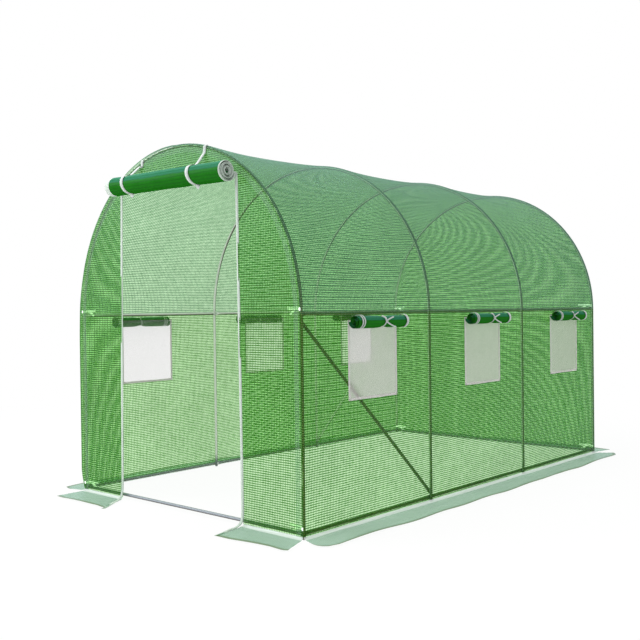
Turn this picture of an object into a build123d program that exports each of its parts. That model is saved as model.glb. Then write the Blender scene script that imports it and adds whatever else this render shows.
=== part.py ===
"""Walk-in polytunnel greenhouse: four steel hoops under a cover of reinforced film.

Millimetres. The origin is the centre of the footprint on the ground, +X is the right side
seen from the door, +Y runs from the door to the back and +Z is up.
"""
import os
from math import sqrt

from build123d import *

# Frame of steel tube
BAYS = 3
BAY_LENGTH = 1160.0
HALF_WIDTH = 1000.0
RAIL_HEIGHT = 1180.0
GROUND_RAIL_HEIGHT = 26.0
TUBE_DIAMETER = 19.0
LEG_WALL = 1.0

# Swaged joint between leg and arch, just under the eaves rail
JOINT_BELOW_RAIL = 32.0
SPIGOT_LENGTH = 55.0
SPIGOT_CLEARANCE = 0.3

# Pressed ends of the rails and braces, which are bolted flat against the legs
TAB_LENGTH = 17.0
TAB_OVERHANG = 8.5
TAB_THICKNESS = 2.6
TAB_WIDTH = 26.0
TAB_CORNER = 6.0
TAPER_LENGTH = 26.0
LUG_HEIGHT = 20.0
LUG_REACH = 14.3
SEAT_GAP = 0.3
BRACE_RAIL_SPACING = 36.0
BRACE_INSET = 4.0

# Cover of reinforced film
FILM_THICKNESS = 2.0
FILM_GAP = 0.3
SEAM_GAP = 0.3
ROOF_SAG = 24.0

# Windows, one in the middle of each wall bay
WINDOW_WIDTH = 440.0
WINDOW_HEIGHT = 430.0
WINDOW_BOTTOM = 695.0
NET_THICKNESS = 1.0

# Rolled window flaps
WINDOW_ROLL_DIAMETER = 78.0
WINDOW_ROLL_LENGTH = 590.0
WINDOW_ROLL_START = 32.0
WINDOW_ROLL_HEIGHT = 1130.0
WINDOW_ROLL_TURNS = 3
WINDOW_TIE_PLACES = (85.0, 320.0, 560.0)
WINDOW_TIE_WIDTH = 18.0

# Doorway and its rolled flap
DOOR_HALF_WIDTH = 545.0
DOOR_HEIGHT = 1975.0
DOOR_ROLL_DIAMETER = 116.0
DOOR_ROLL_LEFT = -612.0
DOOR_ROLL_RIGHT = 505.0
DOOR_ROLL_HEIGHT = 1980.0
DOOR_ROLL_TURNS = 4
DOOR_STRAP_PLACES = (-385.0, 235.0)
DOOR_STRAP_WIDTH = 25.0
BINDING_WIDTH = 20.0
BINDING_THICKNESS = 1.0

# What all rolls and ties share
ROLL_CORE_DIAMETER = 14.0
TIE_THICKNESS = 1.5
TIE_GAP = 0.3

# Skirts that lie on the ground round the foot of the cover
SKIRT_REACH = 220.0
SKIRT_RISE = 50.0
SKIRT_BEND = 36.0
SKIRT_SPLAY = 62.0

# Ties that hold the cover to the corner posts
CORNER_TIE_WIDTH = 22.0
CORNER_TIE_ABOVE_RAIL = 27.0
CORNER_TIE_GAP = 0.9

TUBE_RADIUS = TUBE_DIAMETER / 2
HALF_LENGTH = BAYS * BAY_LENGTH / 2
COVER_INSIDE = HALF_WIDTH + TUBE_RADIUS + FILM_GAP
COVER_OUTSIDE = COVER_INSIDE + FILM_THICKNESS
END_INSIDE = HALF_LENGTH + TUBE_RADIUS + FILM_GAP
END_OUTSIDE = END_INSIDE + FILM_THICKNESS
SEAT_OFFSET = TUBE_RADIUS + SEAT_GAP + TAB_THICKNESS / 2
SECOND_SEAT_OFFSET = SEAT_OFFSET + TAB_THICKNESS + SEAT_GAP
HOOP_PLACES = [BAY_LENGTH * i - HALF_LENGTH for i in range(BAYS + 1)]
BAY_MIDDLES = [y + BAY_LENGTH / 2 for y in HOOP_PLACES[:-1]]


def mirrored(shape):
    """The same shape on the left side of the tunnel."""
    return mirror(shape, about=Plane.YZ)


def group(shapes):
    """Solids that share a node without touching."""
    return Compound(children=[solid for shape in shapes for solid in shape.solids()])


def bar(radius, start, end):
    """A round bar from one point to another."""
    line = Line(start, end)
    return extrude(Plane(line @ 0, z_dir=line % 0) * Circle(radius), line.length)


def leg(y):
    """A right leg: an open tube from the ground to the swaged joint."""
    ring = Circle(TUBE_RADIUS) - Circle(TUBE_RADIUS - LEG_WALL)
    return Pos(HALF_WIDTH, y, 0) * extrude(ring, RAIL_HEIGHT - JOINT_BELOW_RAIL)


def arch(y):
    """The half-round arch, with swaged ends that plug into the two legs."""
    foot = RAIL_HEIGHT - JOINT_BELOW_RAIL
    spring_right = (HALF_WIDTH, y, RAIL_HEIGHT)
    crown = (0, y, RAIL_HEIGHT + HALF_WIDTH)
    spring_left = (-HALF_WIDTH, y, RAIL_HEIGHT)
    path = Line((HALF_WIDTH, y, foot), spring_right)
    path += ThreePointArc(spring_right, crown, spring_left)
    path += Line(spring_left, (-HALF_WIDTH, y, foot))
    tube = sweep(Pos(HALF_WIDTH, y, foot) * Circle(TUBE_RADIUS), path=path)
    spigot_radius = TUBE_RADIUS - LEG_WALL - SPIGOT_CLEARANCE
    spigot = bar(spigot_radius, (HALF_WIDTH, y, foot - SPIGOT_LENGTH), (HALF_WIDTH, y, foot))
    return tube + spigot + mirrored(spigot)


def pressed_end():
    """One end of a rail at its bolt: a flat rounded tab, and the taper up to the round tube."""
    oval = Ellipse(TAB_THICKNESS / 2, TAB_WIDTH / 2)
    neck = TAB_LENGTH + TAPER_LENGTH
    taper = loft([Pos(0, 0, TAB_LENGTH) * oval, Pos(0, 0, neck) * Circle(TUBE_RADIUS)])
    tab = extrude(Pos(0, 0, -TAB_OVERHANG) * oval, TAB_LENGTH + TAB_OVERHANG)
    height = TAB_OVERHANG + neck
    outline = Pos(0, height / 2 - TAB_OVERHANG) * RectangleRounded(TAB_WIDTH, height, TAB_CORNER)
    return tab & extrude(Plane.YZ * outline, TAB_THICKNESS, both=True), taper


def pressed_tube(start, end, flat_normal):
    """A tube from bolt to bolt with both ends pressed flat; the flats face flat_normal."""
    line = Line(start, end)
    neck = TAB_LENGTH + TAPER_LENGTH
    tab, taper = pressed_end()
    near_end = tab + taper
    far_end = Pos(0, 0, line.length) * Rot(0, 180, 0) * near_end
    middle = Pos(0, 0, neck) * extrude(Circle(TUBE_RADIUS), line.length - 2 * neck)
    whole = near_end + middle + far_end
    return Plane(line @ 0, x_dir=flat_normal, z_dir=line % 0) * whole


def side_rail(height):
    """The right side's rail at one height: a tube a bay, lapped on the middle legs."""
    tubes = []
    for i, y in enumerate(HOOP_PLACES[:-1]):
        offset = SECOND_SEAT_OFFSET if i % 2 else SEAT_OFFSET
        start = (HALF_WIDTH - offset, y, height)
        end = (HALF_WIDTH - offset, y + BAY_LENGTH, height)
        tubes.append(pressed_tube(start, end, (1, 0, 0)))
    return tubes


def front_rail():
    """The ground rail across the doorway; its lugs fold round onto the side rails' bolts."""
    lug_x = HALF_WIDTH - SECOND_SEAT_OFFSET
    tip = lug_x + TAB_THICKNESS / 2 - TAB_OVERHANG
    y = LUG_REACH - HALF_LENGTH
    rail = pressed_tube((-tip, y, GROUND_RAIL_HEIGHT), (tip, y, GROUND_RAIL_HEIGHT), (0, 1, 0))
    lug_depth = LUG_REACH + TAB_OVERHANG
    lug = Pos(lug_x, y - lug_depth / 2, GROUND_RAIL_HEIGHT) * Box(TAB_THICKNESS, lug_depth, LUG_HEIGHT)
    return rail + lug + mirrored(lug)


def right_brace():
    """The diagonal of the right wall's front bay, from the front leg down to the second foot."""
    x = HALF_WIDTH - SEAT_OFFSET
    top = (x, HOOP_PLACES[0] + BRACE_INSET, RAIL_HEIGHT - BRACE_RAIL_SPACING)
    foot = (x, HOOP_PLACES[1], GROUND_RAIL_HEIGHT + BRACE_RAIL_SPACING)
    return pressed_tube(top, foot, (1, 0, 0))


def tunnel_outline(half_width, rise):
    """The tunnel's end view from the ground up, under a round or slightly flattened arch."""
    walls = Pos(0, RAIL_HEIGHT / 2) * Rectangle(2 * half_width, RAIL_HEIGHT)
    return walls + Pos(0, RAIL_HEIGHT) * Ellipse(half_width, rise)


def roof_section(y, sag=0):
    """A half ring of film across the tunnel at y, its crown let down by sag."""
    outside = Ellipse(COVER_OUTSIDE, COVER_OUTSIDE - sag)
    inside = Ellipse(COVER_INSIDE, COVER_INSIDE - sag)
    upper_half = Pos(0, COVER_OUTSIDE) * Rectangle(3 * COVER_OUTSIDE, 2 * COVER_OUTSIDE)
    ring = (outside - inside) & upper_half
    return Plane((0, y, RAIL_HEIGHT), x_dir=(1, 0, 0), z_dir=(0, -1, 0)) * ring


def roof_bay(i):
    """Film stretched from hoop to hoop; it sinks between them like a saddle."""
    start = HOOP_PLACES[i] + SEAM_GAP / 2
    end = HOOP_PLACES[i + 1] - SEAM_GAP / 2
    sections = [roof_section(start), roof_section(BAY_MIDDLES[i], ROOF_SAG), roof_section(end)]
    bay = loft(sections)
    if i == 0:
        bay += extrude(roof_section(start), END_OUTSIDE + start, dir=(0, -1, 0))
    if i == BAYS - 1:
        bay += extrude(roof_section(end), END_OUTSIDE - end, dir=(0, 1, 0))
    return bay


def bay_span(i):
    """Where the wall film of one bay starts and ends; the end bays reach round the hoops."""
    start = HOOP_PLACES[i] + SEAM_GAP / 2
    end = HOOP_PLACES[i + 1] - SEAM_GAP / 2
    if i == 0:
        start = -END_OUTSIDE
    if i == BAYS - 1:
        end = END_OUTSIDE
    return start, end


def wall_bay(i):
    """The right wall's film in one bay, with the window cut through."""
    start, end = bay_span(i)
    top = RAIL_HEIGHT - SEAM_GAP
    bottom = SKIRT_RISE + SEAM_GAP
    sheet = Pos((start + end) / 2, (top + bottom) / 2) * Rectangle(end - start, top - bottom)
    sheet -= Pos(BAY_MIDDLES[i], window_middle()) * Rectangle(WINDOW_WIDTH, WINDOW_HEIGHT)
    return extrude(Plane((COVER_INSIDE, 0, 0), x_dir=(0, 1, 0), z_dir=(1, 0, 0)) * sheet, FILM_THICKNESS)


def window_middle():
    """The height of a window's middle."""
    return WINDOW_BOTTOM + WINDOW_HEIGHT / 2


def window_net(i):
    """The insect net that fills the right window of one bay."""
    x = COVER_INSIDE + FILM_THICKNESS / 2
    width = WINDOW_WIDTH - 2 * SEAM_GAP
    height = WINDOW_HEIGHT - 2 * SEAM_GAP
    return Pos(x, BAY_MIDDLES[i], window_middle()) * Box(NET_THICKNESS, width, height)


def end_panel():
    """A whole end of the tunnel as a flat sheet in the XZ plane, inside the roof and walls."""
    inside = COVER_INSIDE - SEAM_GAP
    outline = tunnel_outline(inside, inside)
    outline &= Pos(0, SKIRT_RISE + SEAM_GAP + COVER_OUTSIDE * 2) * Rectangle(
        3 * COVER_OUTSIDE, 4 * COVER_OUTSIDE
    )
    return Plane.XZ * outline


def front_panels():
    """The front film, split into the parts left and right of the doorway and over it."""
    sheet = Pos(0, -END_INSIDE, 0) * extrude(end_panel(), FILM_THICKNESS)
    tall = 4 * HALF_WIDTH
    doorway = Box(2 * DOOR_HALF_WIDTH, 2 * HALF_LENGTH + tall, DOOR_HEIGHT * 2)
    beside = Pos(0, 0, DOOR_HEIGHT + tall / 2 - SEAM_GAP) * Box(
        2 * DOOR_HALF_WIDTH + 2 * SEAM_GAP, 2 * HALF_LENGTH + tall, tall
    )
    above = Pos(0, 0, DOOR_HEIGHT + tall / 2) * Box(
        2 * DOOR_HALF_WIDTH, 2 * HALF_LENGTH + tall, tall
    )
    left, right = (sheet - doorway - beside).solids().sort_by(Axis.X)
    return {"left": left, "right": right, "top": sheet & above}


def back_panel():
    """The closed back end."""
    return Pos(0, END_OUTSIDE, 0) * extrude(end_panel(), FILM_THICKNESS)


def half_turn(inner_radius, side):
    """Half a turn of rolled film on one side of the X axis, +1 above and -1 below."""
    reach = 4 * inner_radius
    half = Pos(0, side * reach / 2) * Rectangle(2 * reach, reach)
    return (Circle(inner_radius + FILM_THICKNESS) - Circle(inner_radius)) & half


def rolled_film(diameter, turns):
    """The end view of a roll: a spiral made of half turns about two centres."""
    pitch = (diameter / 2 - FILM_THICKNESS - ROLL_CORE_DIAMETER / 2) / (turns - 0.5)
    spiral = Sketch()
    for i in range(turns):
        radius = ROLL_CORE_DIAMETER / 2 + pitch * i
        spiral += half_turn(radius, 1)
        spiral += Pos(pitch / 2, 0) * half_turn(radius + pitch / 2, -1)
    return Pos(-pitch / 2, 0) * spiral


def window_roll_centre():
    """How far from the tunnel's middle the window rolls lie."""
    return COVER_OUTSIDE + TIE_THICKNESS + 2 * TIE_GAP + WINDOW_ROLL_DIAMETER / 2


def window_roll_start(i):
    """Where the window roll of one bay starts along the tunnel."""
    return BAY_MIDDLES[i] - WINDOW_WIDTH / 2 - WINDOW_ROLL_START


def window_roll(i):
    """The rolled flap above the right window of one bay."""
    centre = (window_roll_centre(), window_roll_start(i), WINDOW_ROLL_HEIGHT)
    spiral = rolled_film(WINDOW_ROLL_DIAMETER, WINDOW_ROLL_TURNS)
    return extrude(Plane(centre, x_dir=(1, 0, 0), z_dir=(0, 1, 0)) * spiral, WINDOW_ROLL_LENGTH)


def window_ties(i):
    """The ties round one right window roll."""
    inner = WINDOW_ROLL_DIAMETER / 2 + TIE_GAP
    ring = Circle(inner + TIE_THICKNESS) - Circle(inner)
    ties = []
    for place in WINDOW_TIE_PLACES:
        centre = (window_roll_centre(), window_roll_start(i) + place, WINDOW_ROLL_HEIGHT)
        plane = Plane(centre, x_dir=(1, 0, 0), z_dir=(0, 1, 0))
        ties.append(extrude(plane * ring, WINDOW_TIE_WIDTH / 2, both=True))
    return ties


def door_roll_centre():
    """How far in front of the tunnel's middle the door roll hangs."""
    return END_OUTSIDE + TIE_THICKNESS + 2 * TIE_GAP + DOOR_ROLL_DIAMETER / 2


def door_roll():
    """The rolled door flap in front of the top of the doorway."""
    spiral = rolled_film(DOOR_ROLL_DIAMETER, DOOR_ROLL_TURNS)
    centre = (DOOR_ROLL_LEFT, -door_roll_centre(), DOOR_ROLL_HEIGHT)
    plane = Plane(centre, x_dir=(0, 1, 0), z_dir=(1, 0, 0))
    return extrude(plane * spiral, DOOR_ROLL_RIGHT - DOOR_ROLL_LEFT)


def strap_loop(x, roll_radius, hook_radius):
    """The area inside a strap that hangs from the arch seam and goes round the door roll."""
    arch_height = RAIL_HEIGHT + sqrt(HALF_WIDTH**2 - x**2)
    hook = Pos(-END_OUTSIDE - TIE_GAP - 2 * TIE_THICKNESS, arch_height)
    roll = Pos(-door_roll_centre(), DOOR_ROLL_HEIGHT)
    return make_hull([(roll * Circle(roll_radius)).edge(), (hook * Circle(hook_radius)).edge()])


def door_strap(x):
    """One webbing strap, a band that follows the loop."""
    radius = DOOR_ROLL_DIAMETER / 2 + TIE_GAP
    outside = strap_loop(x, radius + TIE_THICKNESS, 2 * TIE_THICKNESS)
    inside = strap_loop(x, radius, TIE_THICKNESS)
    plane = Plane((x, 0, 0), x_dir=(0, 1, 0), z_dir=(1, 0, 0))
    return extrude(plane * (outside - inside), DOOR_STRAP_WIDTH / 2, both=True)


def door_binding():
    """The tape along the right edge of the doorway."""
    height = DOOR_HEIGHT - SKIRT_RISE
    x = DOOR_HALF_WIDTH + BINDING_WIDTH / 2
    y = END_OUTSIDE + TIE_GAP + BINDING_THICKNESS / 2
    return Pos(x, -y, SKIRT_RISE + height / 2) * Box(BINDING_WIDTH, BINDING_THICKNESS, height)


def skirt_profile():
    """A skirt's section: down the wall, round the bend and out over the ground."""
    corner = FILM_THICKNESS + SKIRT_BEND
    upright = Pos(FILM_THICKNESS / 2, (SKIRT_RISE + corner) / 2) * Rectangle(
        FILM_THICKNESS, SKIRT_RISE - corner
    )
    ring = Circle(corner) - Circle(SKIRT_BEND)
    bend = Pos(corner, corner) * (ring & (Pos(-corner / 2, -corner / 2) * Rectangle(corner, corner)))
    flat = Pos((corner + SKIRT_REACH) / 2, FILM_THICKNESS / 2) * Rectangle(
        SKIRT_REACH - corner, FILM_THICKNESS
    )
    return upright + bend + flat


def skirt(start, end, start_splay, end_splay):
    """A skirt along +X whose wall stands on the X axis; its ends splay outwards, towards -Y."""
    plan = Polyline(
        (start, 0),
        (start, -FILM_THICKNESS),
        (start - start_splay, -SKIRT_REACH),
        (end + end_splay, -SKIRT_REACH),
        (end, -FILM_THICKNESS),
        (end, 0),
        close=True,
    )
    prism = extrude(make_face(plan), SKIRT_RISE)
    far_left = start - start_splay
    section = Plane((far_left, 0, 0), x_dir=(0, -1, 0), z_dir=(-1, 0, 0)) * skirt_profile()
    return extrude(section, end + end_splay - far_left, dir=(1, 0, 0)) & prism


def corner_tie(height):
    """A tie round the inside of the front right post, its ends on the cover."""
    inner = TUBE_RADIUS + CORNER_TIE_GAP
    reach = TUBE_RADIUS - CORNER_TIE_GAP
    ring = Circle(inner + TIE_THICKNESS) - Circle(inner)
    inside = Pos(reach - HALF_WIDTH, HALF_WIDTH - reach) * Rectangle(2 * HALF_WIDTH, 2 * HALF_WIDTH)
    hook = (ring & inside).faces().sort_by(SortBy.AREA)[-1]
    return Pos(HALF_WIDTH, -HALF_LENGTH, height) * extrude(hook, CORNER_TIE_WIDTH / 2, both=True)


def corner_ties():
    """Two ties at each of the four corner posts."""
    heights = [RAIL_HEIGHT + CORNER_TIE_ABOVE_RAIL, GROUND_RAIL_HEIGHT + CORNER_TIE_ABOVE_RAIL]
    front_right = [corner_tie(height) for height in heights]
    back_right = [mirror(tie, about=Plane.XZ) for tie in front_right]
    right = front_right + back_right
    return group(right + [mirrored(tie) for tie in right])


def frame_nodes():
    """The steel frame."""
    nodes = {}
    for i, y in enumerate(HOOP_PLACES, start=1):
        nodes[f"hoop_{i}_legs"] = group([leg(y), mirrored(leg(y))])
        nodes[f"hoop_{i}_arch"] = arch(y)
    for name, height in {"eaves": RAIL_HEIGHT, "ground": GROUND_RAIL_HEIGHT}.items():
        rail = group(side_rail(height))
        nodes[f"right_{name}_rail"] = rail
        nodes[f"left_{name}_rail"] = mirrored(rail)
    nodes["front_ground_rail"] = front_rail()
    nodes["back_ground_rail"] = Rot(0, 0, 180) * front_rail()
    nodes["right_front_brace"] = right_brace()
    nodes["left_back_brace"] = Rot(0, 0, 180) * right_brace()
    nodes["corner_ties"] = corner_ties()
    return nodes


def cover_nodes():
    """Roof, walls, ends and skirts."""
    nodes = {}
    for i in range(BAYS):
        nodes[f"roof_bay_{i + 1}"] = roof_bay(i)
        nodes[f"right_wall_bay_{i + 1}"] = wall_bay(i)
        nodes[f"left_wall_bay_{i + 1}"] = mirrored(wall_bay(i))
    for name, panel in front_panels().items():
        nodes[f"front_panel_{name}"] = panel
    nodes["back_panel"] = back_panel()
    end_half = COVER_INSIDE - SEAM_GAP
    front_right = Pos(0, -END_INSIDE, 0) * skirt(DOOR_HALF_WIDTH, end_half, 0, SKIRT_SPLAY)
    right = Rot(0, 0, 90) * skirt(-END_OUTSIDE, END_OUTSIDE, SKIRT_SPLAY, SKIRT_SPLAY)
    nodes["front_right_skirt"] = front_right
    nodes["front_left_skirt"] = mirrored(front_right)
    nodes["right_skirt"] = Pos(COVER_INSIDE, 0, 0) * right
    nodes["left_skirt"] = mirrored(nodes["right_skirt"])
    back = Pos(0, -END_INSIDE, 0) * skirt(-end_half, end_half, SKIRT_SPLAY, SKIRT_SPLAY)
    nodes["back_skirt"] = mirror(back, about=Plane.XZ)
    return nodes


def window_nodes():
    """Nets, rolled flaps and their ties, on both sides."""
    makers = {"window_nets": window_net, "window_rolls": window_roll}
    nodes = {}
    for name, maker in makers.items():
        nodes[f"right_{name}"] = group([maker(i) for i in range(BAYS)])
    nodes["right_window_ties"] = group([tie for i in range(BAYS) for tie in window_ties(i)])
    for name in list(nodes):
        nodes[name.replace("right", "left")] = mirrored(nodes[name])
    return nodes


def door_nodes():
    """The rolled door flap, its straps and the doorway's edge bindings."""
    return {
        "door_roll": door_roll(),
        "door_straps": group([door_strap(x) for x in DOOR_STRAP_PLACES]),
        "door_bindings": group([door_binding(), mirrored(door_binding())]),
    }


def main():
    """Write one STEP file a node."""
    os.makedirs("parts", exist_ok=True)
    nodes = frame_nodes() | cover_nodes() | window_nodes() | door_nodes()
    for name, shape in nodes.items():
        export_step(shape, f"parts/{name}.step")


main()
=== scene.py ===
"""The polytunnel greenhouse dressed for the camera: film, nets, rolls, ties and steel.

Metres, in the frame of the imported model: +X is the right side seen from the door, +Y runs
from the door to the back, +Z is up and the ground is at zero.
"""
import math

import bpy
import numpy as np
from mathutils import Matrix, Vector

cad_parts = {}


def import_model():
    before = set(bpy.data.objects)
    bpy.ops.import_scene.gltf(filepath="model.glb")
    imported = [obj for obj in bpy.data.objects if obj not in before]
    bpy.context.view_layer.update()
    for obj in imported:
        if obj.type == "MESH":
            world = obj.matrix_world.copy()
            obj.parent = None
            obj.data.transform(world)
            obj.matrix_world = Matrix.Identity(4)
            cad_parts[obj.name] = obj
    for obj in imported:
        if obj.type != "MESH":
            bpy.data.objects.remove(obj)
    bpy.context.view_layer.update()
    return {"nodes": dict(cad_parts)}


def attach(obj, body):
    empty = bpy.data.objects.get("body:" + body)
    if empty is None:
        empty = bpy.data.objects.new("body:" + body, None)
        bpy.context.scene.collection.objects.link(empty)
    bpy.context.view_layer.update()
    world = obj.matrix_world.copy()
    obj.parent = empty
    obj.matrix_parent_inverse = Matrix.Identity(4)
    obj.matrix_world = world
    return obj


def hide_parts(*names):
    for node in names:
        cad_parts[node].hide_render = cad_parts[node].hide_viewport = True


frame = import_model()

# Sizes of the tunnel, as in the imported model
RAIL = 1.18
GROUND_RAIL = 0.026
HALF_WIDTH = 1.0
HALF_LENGTH = 1.74
BAY = 1.16
HOOPS = [BAY * i - HALF_LENGTH for i in range(4)]
MIDDLES = [y + BAY / 2 for y in HOOPS[:-1]]
TUBE = 0.0095
PRESSED_END = 0.0026
LAP_GAP = 0.0003
ROOF_SAG = 0.024
DOOR_TOP = 1.975
WINDOW_HALF = 0.22
WINDOW_LOW = 0.695
ROLL_Z = 1.130
DOOR_ROLL_Z = 1.98

# Reach of the film's middle and of the cover's outside from a tube's axis
FILM_REACH = 0.0108
COVER_REACH = 0.0118
FILM_X = HALF_WIDTH + FILM_REACH
FILM_Y = HALF_LENGTH + FILM_REACH

# Height at which the cover ends and the skirts bend out over the ground
SKIRT_RISE = 0.014

# Windows and their rolled flaps, with their places along the wall as in the photograph
WINDOW_MIDDLES = [MIDDLES[i] + 0.028 + (i - 1) * 0.0225 for i in range(3)]
WINDOW_TOP = 1.14
TIE_ROOM = 0.0021
ROLL_RADIUS = 0.039
ROLL_X = HALF_WIDTH + COVER_REACH + TIE_ROOM + ROLL_RADIUS
ROLL_LENGTH = 0.475
ROLL_CLOTH = 0.50
TIE_PLACES = (0.036, 0.054, 0.256, 0.450)

# Doorway and its rolled flap, as in the photograph; the side 1 is the right one, -1 the left
DOOR_HALF = 0.533
DOOR_LEAN = {1: 0.017, -1: 0.040}
DOOR_ROLL_RADIUS = 0.0605
DOOR_ROLL_Y = -(HALF_LENGTH + COVER_REACH + TIE_ROOM + 0.060)
DOOR_ROLL_START = -0.549
DOOR_ROLL_LENGTH = 1.0825
DOOR_ROLL_CLOTH = 1.95
DOOR_ROLL_TILT = 0.016
STRAPS = ((-0.314, -0.385), (0.274, 0.235))
SKIRT_CORNERS = {1: (0.585, -1.985), -1: (-0.44, -1.992)}

# Loose cover at the front left: its length along the wall, and how far it stands off
SLACK_LENGTH = 0.55
SLACK = 0.019
SLACK_BELOW = 0.017

# Pattern of the film and the nets
WEAVE = 0.0126
THREAD_SHARE = 0.36
NET_PITCH = 0.002
NET_THREAD = 0.0003

# Radius, depth and corners of a washer, a nut and a bolt's end
FASTENERS = ((0.008, 0.0012, 20), (0.0058, 0.0048, 6), (0.0029, 0.004, 12))

# Camera of the photograph, with its focal length in pixels of the picture
FOCAL_PIXELS = 874.9
PICTURE_PIXELS = 640.0
SENSOR = 36.0
CAMERA_PLACE = (4.11, -5.069, 1.201)
CAMERA_TURN = 41.822
CAMERA_DROP = 0.694
CAMERA_ROLL = -0.721


def side_name(side):
    """The word for one side of the tunnel."""
    return "right" if side > 0 else "left"


def window_middle(i, side):
    """The middle of one window along the tunnel; the left wall is the right one turned round."""
    return WINDOW_MIDDLES[i] if side > 0 else -WINDOW_MIDDLES[2 - i]


# Meshes

def mesh_object(name, verts, faces, materials, uvs, face_materials=None):
    """A new smooth object from vertices and faces; uvs hold one pair a vertex."""
    mesh = bpy.data.meshes.new(name)
    mesh.from_pydata([tuple(v) for v in verts], [], [tuple(f) for f in faces])
    for material in materials:
        mesh.materials.append(material)
    if face_materials is not None:
        mesh.polygons.foreach_set("material_index", list(face_materials))
    if uvs is not None:
        layer = mesh.uv_layers.new(name="UVMap")
        loops = np.zeros(len(mesh.loops), int)
        mesh.loops.foreach_get("vertex_index", loops)
        layer.data.foreach_set("uv", np.asarray(uvs, float)[loops].ravel())
    mesh.polygons.foreach_set("use_smooth", [True] * len(mesh.polygons))
    mesh.update()
    obj = bpy.data.objects.new(name, mesh)
    bpy.context.scene.collection.objects.link(obj)
    return obj


def grid_object(name, rows, uv_rows, material, keep=None):
    """A sheet from rows of points, with coordinates in metres; keep(r, c) picks its cells."""
    points, uvs = np.array(rows), np.array(uv_rows)
    count, cols = points.shape[:2]
    faces = []
    for r in range(count - 1):
        for c in range(cols - 1):
            if keep is None or keep(r, c):
                a = r * cols + c
                faces.append((a, a + 1, a + cols + 1, a + cols))
    return mesh_object(name, points.reshape(-1, 3), faces, [material], uvs.reshape(-1, 2))


def joined(name, parts, material):
    """One object from several (verts, faces, uvs) parts."""
    verts, faces, uvs = [], [], []
    for part_verts, part_faces, part_uvs in parts:
        start = len(verts)
        verts += [tuple(v) for v in part_verts]
        faces += [tuple(start + i for i in f) for f in part_faces]
        uvs += [tuple(p) for p in part_uvs]
    return mesh_object(name, verts, faces, [material], uvs)


def smooth_path(points, steps=8):
    """More points on a smooth curve through the given ones."""
    p = [Vector(q) for q in points]
    p = [2 * p[0] - p[1]] + p + [2 * p[-1] - p[-2]]
    out = []
    for i in range(1, len(p) - 2):
        a, b, c, d = p[i - 1:i + 3]
        for k in range(steps):
            t = k / steps
            square = (2 * a - 5 * b + 4 * c - d) * t**2
            cube = (3 * b - a - 3 * c + d) * t**3
            out.append(0.5 * (2 * b + (c - a) * t + square + cube))
    out.append(p[-2])
    return out


def bar_faces(count, closed=False):
    """Faces of a bar that has four corners at each of its stations."""
    faces = []
    for r in range(count if closed else count - 1):
        s = (r + 1) % count
        for c in range(4):
            d = (c + 1) % 4
            faces.append((4 * r + c, 4 * r + d, 4 * s + d, 4 * s + c))
    if not closed:
        faces.append((0, 1, 2, 3))
        faces.append(tuple(4 * count - 1 - c for c in range(4)))
    return faces


def band(path, across, width, thickness, closed=False):
    """A flat woven band along a path; across is its width direction."""
    n = len(path)
    across = Vector(across)
    verts, uvs, length = [], [], 0.0
    for i, p in enumerate(path):
        p = Vector(p)
        before = Vector(path[i - 1]) if i or closed else p
        after = Vector(path[(i + 1) % n]) if i < n - 1 or closed else p
        along = (after - before).normalized()
        side = (across - along * across.dot(along)).normalized()
        up = along.cross(side)
        if i:
            length += (p - Vector(path[i - 1])).length
        for a, b in ((-1, -1), (1, -1), (1, 1), (-1, 1)):
            verts.append(p + side * (a * width / 2) + up * (b * thickness / 2))
            uvs.append((length, a * width / 2))
    return verts, bar_faces(n, closed), uvs


def spaced(low, high, step):
    """Evenly spaced values from low to high, no further apart than step."""
    count = max(2, int(math.ceil((high - low) / step)) + 1)
    return [low + (high - low) * k / (count - 1) for k in range(count)]


def chained(*runs):
    """Spaced values over several runs end to end, each run given as low, high and step."""
    values = []
    for low, high, step in runs:
        values = values[:-1] + spaced(low, high, step)
    return values


def waves(a, b, seed, scale=1.0):
    """Smooth irregular waves between about -1 and 1 over two coordinates in metres."""
    rng = np.random.default_rng(seed)
    total = np.zeros(np.broadcast(a, b).shape)
    for _ in range(7):
        angle = rng.uniform(0, 2 * np.pi)
        frequency = rng.uniform(4, 13) * scale
        phase = rng.uniform(0, 2 * np.pi)
        total = total + np.sin(frequency * (np.cos(angle) * a + np.sin(angle) * b) + phase)
    return total / 4.5


# Materials

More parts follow.
